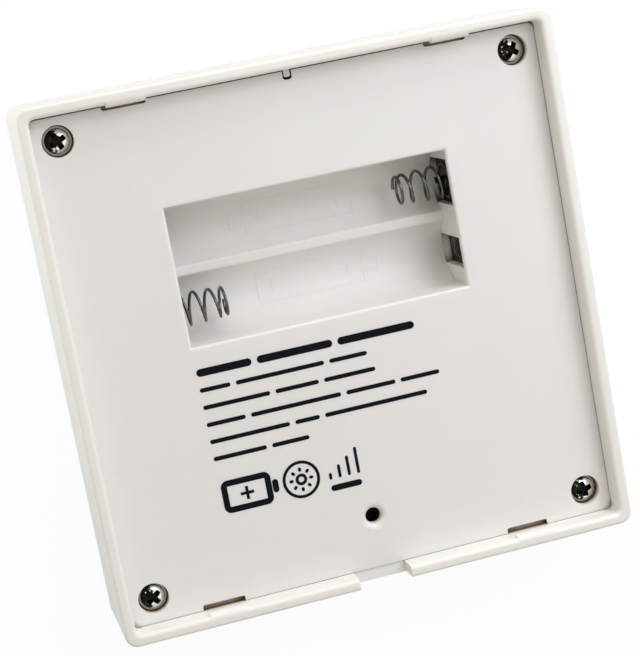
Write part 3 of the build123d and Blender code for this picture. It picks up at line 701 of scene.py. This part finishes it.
def make_screws(material):
    """The four screws, each with its cross at another angle."""
    head = cut_head()
    bm = bmesh.new()
    for (side_x, side_y), turn in SCREW_TURNS.items():
        screw = bmesh.new()
        screw.from_mesh(head)
        skin(screw, shank_rings())
        screw.transform(Matrix.Rotation(math.radians(turn), 4, "Z"))
        screw.transform(Matrix.Translation((side_x * SCREW_X, side_y * SCREW_Y, SCREW_SEAT_Z)))
        placed = bpy.data.meshes.new("screw")
        screw.to_mesh(placed)
        screw.free()
        bm.from_mesh(placed)
        bpy.data.meshes.remove(placed)
    bpy.data.meshes.remove(head)
    screws = settle(mesh_object("cover_screw_set", bm), material)
    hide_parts("cover_screws")
    return screws


def bay_floor(y, bay_y):
    """Height of a bay's round floor."""
    return CELL_AXIS_Z - math.sqrt(BAY_R**2 - (y - bay_y) ** 2)


def raised_line(bm, start, end, bay_y):
    """A low ridge along a straight line on the round floor of a bay."""
    run = Vector(end) - Vector(start)
    along = run.normalized()
    side = Vector((-along.y, along.x))
    start = Vector(start) - along * MARK_LINE / 2
    length = run.length + MARK_LINE
    steps = max(1, round(length / MARK_STEP))
    foot = ((-0.5, -MARK_SINK), (0.5, -MARK_SINK))
    top = ((MARK_TOP_HALF, MARK_HEIGHT), (-MARK_TOP_HALF, MARK_HEIGHT))
    rings = []
    for step in range(steps + 1):
        middle = start + along * length * step / steps
        ring = []
        for share, lift in reversed(foot + top):
            point = middle + side * share * MARK_LINE
            ring.append(Vector((point.x, point.y, bay_floor(point.y, bay_y) + lift)))
        rings.append(ring)
    skin(bm, rings)


def make_cell_mark(name, bay_y, way, material):
    """A raised cell outline with its polarity signs; way is 1 where the cell's nub points right."""
    half_length, half_width = MARK_LENGTH / 2, MARK_WIDTH / 2
    nub_end = half_length + MARK_NUB_LENGTH
    half_nub, half_sign = MARK_NUB_WIDTH / 2, MARK_SIGN / 2
    plus_x = half_length - MARK_WIDTH / 2
    minus_x = -plus_x
    lines = [
        ((-half_length, half_width), (half_length, half_width)),
        ((-half_length, -half_width), (half_length, -half_width)),
        ((-half_length, -half_width), (-half_length, half_width)),
        ((half_length, half_nub), (half_length, half_width)),
        ((half_length, -half_width), (half_length, -half_nub)),
        ((half_length, half_nub), (nub_end, half_nub)),
        ((half_length, -half_nub), (nub_end, -half_nub)),
        ((nub_end, -half_nub), (nub_end, half_nub)),
        ((plus_x - half_sign, 0), (plus_x + half_sign, 0)),
        ((plus_x, -half_sign), (plus_x, half_sign)),
        ((minus_x, -half_sign), (minus_x, half_sign)),
    ]
    bm = bmesh.new()
    for start, end in lines:
        raised_line(bm, (way * start[0], bay_y + start[1]), (way * end[0], bay_y + end[1]), bay_y)
    return settle(mesh_object(name, bm), material)


def rounded_bar(low, high, radius):
    """Outline of a level bar with rounded corners, between two corners in X and Y."""
    outline = []
    for corner in range(4):
        at_x = low[0] + radius if corner in (1, 2) else high[0] - radius
        at_y = low[1] + radius if corner in (2, 3) else high[1] - radius
        for step in range(ARC_STEPS + 1):
            angle = math.pi / 2 * (corner + step / ARC_STEPS)
            outline.append((at_x + radius * math.cos(angle), at_y + radius * math.sin(angle)))
    return outline


def ink_levels(outline):
    """The lower and upper ring of a thin ink patch on the cover."""
    return [[Vector((x, y, COVER_TOP + lift)) for x, y in outline] for lift in (-INK_SINK, INK_HEIGHT)]


def ink_patch(bm, outline):
    """A filled patch of ink."""
    skin(bm, ink_levels(outline))


def ink_bar(bm, middle, length, width, angle=0.0):
    """A rounded bar of ink about a middle, turned by an angle."""
    turn = Matrix.Rotation(angle, 2)
    outline = []
    for x, y in rounded_bar((-length / 2, -width / 2), (length / 2, width / 2), min(length, width) / 2):
        point = turn @ Vector((x, y)) + Vector(middle)
        outline.append((point.x, point.y))
    ink_patch(bm, outline)


def ink_frame(bm, outer, inner):
    """A closed band of ink between an outer and an inner outline with as many points."""
    inner_low, inner_high = ink_levels(inner)
    outer_low, outer_high = ink_levels(outer)
    loops = [[bm.verts.new(p) for p in ring] for ring in (inner_low, outer_low, outer_high, inner_high)]
    count = len(outer)
    for low, high in zip(loops, loops[1:] + loops[:1]):
        for n in range(count):
            following = (n + 1) % count
            bm.faces.new((low[n], low[following], high[following], high[n]))


def ink_ring(bm, middle, radius, line):
    """A ring of ink."""
    outlines = []
    for distance in (radius + line / 2, radius - line / 2):
        outlines.append([(p.x + middle[0], p.y + middle[1]) for p in circle(distance, 0.0, SCREW_SIDES)])
    ink_frame(bm, *outlines)


def ink_box(bm, middle, length, width, line):
    """The outline of a box with rounded corners."""
    outlines = []
    for grow in (line / 2, -line / 2):
        half_x, half_y = length / 2 + grow, width / 2 + grow
        low = (middle[0] - half_x, middle[1] - half_y)
        high = (middle[0] + half_x, middle[1] + half_y)
        outlines.append(rounded_bar(low, high, line / 2 + grow + BOX_INNER_R))
    ink_frame(bm, *outlines)


def ink_plus(bm, middle, length, line):
    """A plus sign."""
    arm, half = length / 2, line / 2
    quarter = ((arm, -half), (arm, half), (half, half))
    outline = []
    for turn in range(4):
        rotated = Matrix.Rotation(turn * math.pi / 2, 2)
        for point in quarter:
            place = rotated @ Vector(point) + Vector(middle)
            outline.append((place.x, place.y))
    ink_patch(bm, outline)


def print_rows(bm):
    """Rows of plain bars, the first one thicker."""
    for row, lengths in enumerate(ROW_BARS_MM):
        height = TITLE_HEIGHT if row == 0 else BAR_HEIGHT
        y = PRINT_TOP - row * ROW_PITCH
        x = PRINT_LEFT
        for length in lengths:
            ink_bar(bm, (x + length * MM / 2, y), length * MM, height)
            x += length * MM + BAR_GAP


def print_cell_sign(bm):
    """A cell outline with a plus."""
    x, y = CELL_SIGN_X, SIGN_Y
    length, width = CELL_SIGN_SIZE
    ink_box(bm, (x, y), length, width, BOLD_LINE)
    ink_bar(bm, (x + length / 2 + BOLD_LINE + SIGN_GAP, y), width / 2, BOLD_LINE, math.pi / 2)
    ink_plus(bm, (x, y), width / 2, FINE_LINE)


def print_sun_sign(bm):
    """A sun in a ring, for brightness."""
    middle = Vector((SUN_SIGN_X, SIGN_Y))
    ink_ring(bm, middle, SUN_SIGN_R, FINE_LINE)
    ink_ring(bm, middle, SUN_SIGN_R / 4, FINE_LINE)
    reach = SUN_SIGN_R * SUN_RAY_REACH
    for ray in range(SUN_RAYS):
        angle = 2 * math.pi * ray / SUN_RAYS
        place = middle + reach * Vector((math.cos(angle), math.sin(angle)))
        ink_bar(bm, place, SUN_SIGN_R / 4, FINE_LINE, angle)


def print_level_sign(bm):
    """Rising bars over a thick line, for dimming."""
    width, height = LEVEL_SIGN_SIZE
    low_y = SIGN_Y - height / 2
    pitch = (width - FINE_LINE) / (LEVEL_BARS - 1)
    ink_bar(bm, (LEVEL_SIGN_X, low_y + BOLD_LINE / 2), width, BOLD_LINE)
    for n in range(LEVEL_BARS):
        length = (height - 2 * BOLD_LINE) * (n + 1) / LEVEL_BARS
        x = LEVEL_SIGN_X - width / 2 + FINE_LINE / 2 + n * pitch
        ink_bar(bm, (x, low_y + 2 * BOLD_LINE + length / 2), length, FINE_LINE, math.pi / 2)


def make_print(material):
    """The print below the well."""
    bm = bmesh.new()
    print_rows(bm)
    print_cell_sign(bm)
    print_sun_sign(bm)
    print_level_sign(bm)
    return settle(mesh_object("back_print", bm), material)


def seen_share(tree):
    """1 for rays that show the background itself: camera, mirror and clear rays."""
    rays = tree.nodes.new("ShaderNodeLightPath")
    shares = [rays.outputs[name] for name in ("Is Camera Ray", "Is Glossy Ray", "Is Transmission Ray")]
    total = shares[0]
    for share in shares[1:]:
        larger = tree.nodes.new("ShaderNodeMath")
        larger.operation = "MAXIMUM"
        tree.links.new(total, larger.inputs[0])
        tree.links.new(share, larger.inputs[1])
        total = larger.outputs["Value"]
    return total


def make_floor():
    """A pale table shown as white with a faint shadow, open under the panel, whose face shows below."""
    bm = bmesh.new()
    halves = (FLOOR_HALF, FLOOR_WINDOW_HALF)
    outer, inner = [[bm.verts.new(p) for p in rectangle(2 * half, 2 * half, 0.0)] for half in halves]
    for n in range(4):
        following = (n + 1) % 4
        bm.faces.new((outer[n], outer[following], inner[following], inner[n]))
    floor = mesh_object("floor", bm)
    material = bpy.data.materials.new("floor_white")
    material.use_nodes = True
    tree = material.node_tree
    matte = tree.nodes["Principled BSDF"]
    matte.inputs["Base Color"].default_value = FLOOR_COLOUR
    matte.inputs["Roughness"].default_value = FLOOR_ROUGH
    white = tree.nodes.new("ShaderNodeEmission")
    white.inputs["Color"].default_value = WHITE
    white.inputs["Strength"].default_value = FLOOR_WHITE
    share = tree.nodes.new("ShaderNodeMath")
    share.operation = "MULTIPLY"
    share.inputs[1].default_value = FLOOR_SEEN
    mixed = tree.nodes.new("ShaderNodeMixShader")
    tree.links.new(seen_share(tree), share.inputs[0])
    tree.links.new(share.outputs["Value"], mixed.inputs["Fac"])
    tree.links.new(matte.outputs["BSDF"], mixed.inputs[1])
    tree.links.new(white.outputs["Emission"], mixed.inputs[2])
    tree.links.new(mixed.outputs["Shader"], tree.nodes["Material Output"].inputs["Surface"])
    floor.data.materials.append(material)


def make_sky():
    """Even soft light from all round, shown as white."""
    world = bpy.data.worlds.new("studio")
    world.use_nodes = True
    tree = world.node_tree
    shown = tree.nodes.new("ShaderNodeMix")
    shown.data_type = "RGBA"
    shown.inputs[6].default_value = SKY_LIGHT
    shown.inputs[7].default_value = WHITE
    tree.links.new(seen_share(tree), shown.inputs[0])
    tree.links.new(shown.outputs[2], tree.nodes["Background"].inputs["Color"])
    bpy.context.scene.world = world


def make_lamp(name, place, size, power, colour):
    """A soft lamp of a width and height that looks at the middle of the panel."""
    lamp = bpy.data.lights.new(name, "AREA")
    lamp.shape = "RECTANGLE"
    lamp.size, lamp.size_y = size
    lamp.energy = power
    lamp.color = colour
    holder = bpy.data.objects.new(name, lamp)
    holder.visible_camera = False
    holder.location = place
    holder.rotation_euler = (-place).to_track_quat("-Z", "Y").to_euler()
    bpy.context.scene.collection.objects.link(holder)


def make_camera():
    """The camera at the photograph's view."""
    camera = bpy.data.cameras.new("camera")
    camera.sensor_width = SENSOR_MM
    camera.lens = LENS_MM
    camera.clip_start = CAMERA_NEAR
    holder = bpy.data.objects.new("camera", camera)
    forward = CAMERA_FORWARD.normalized()
    right = forward.cross(CAMERA_UP).normalized()
    up = right.cross(forward)
    turned = Matrix((right, up, -forward)).transposed().to_4x4()
    holder.matrix_world = Matrix.Translation(CAMERA_PLACE) @ turned
    bpy.context.scene.collection.objects.link(holder)
    bpy.context.scene.camera = holder


def main():
    """Builds the scene around the loaded solids."""
    finishes = materials()
    dress_solids(finishes)
    wire = finishes["spring_wire"]
    make_spring("upper_spring_coil", "upper_cell_spring", UPPER_Y, 1, wire)
    make_spring("lower_spring_coil", "lower_cell_spring", LOWER_Y, -1, wire)
    make_screws(finishes["screw_steel"])
    make_cell_mark("upper_cell_mark", UPPER_Y, -1, finishes["mark_plastic"])
    make_cell_mark("lower_cell_mark", LOWER_Y, 1, finishes["mark_plastic"])
    make_print(finishes["print_ink"])
    make_floor()
    make_sky()
    make_lamp("key", KEY_PLACE, KEY_SIZE, KEY_POWER, KEY_COLOUR)
    make_lamp("top_light", TOP_PLACE, TOP_SIZE, TOP_POWER, TOP_COLOUR)
    make_lamp("side_light", SIDE_PLACE, SIDE_SIZE, SIDE_POWER, SIDE_COLOUR)
    make_camera()
    bpy.context.scene.view_settings.view_transform = "Standard"


main()
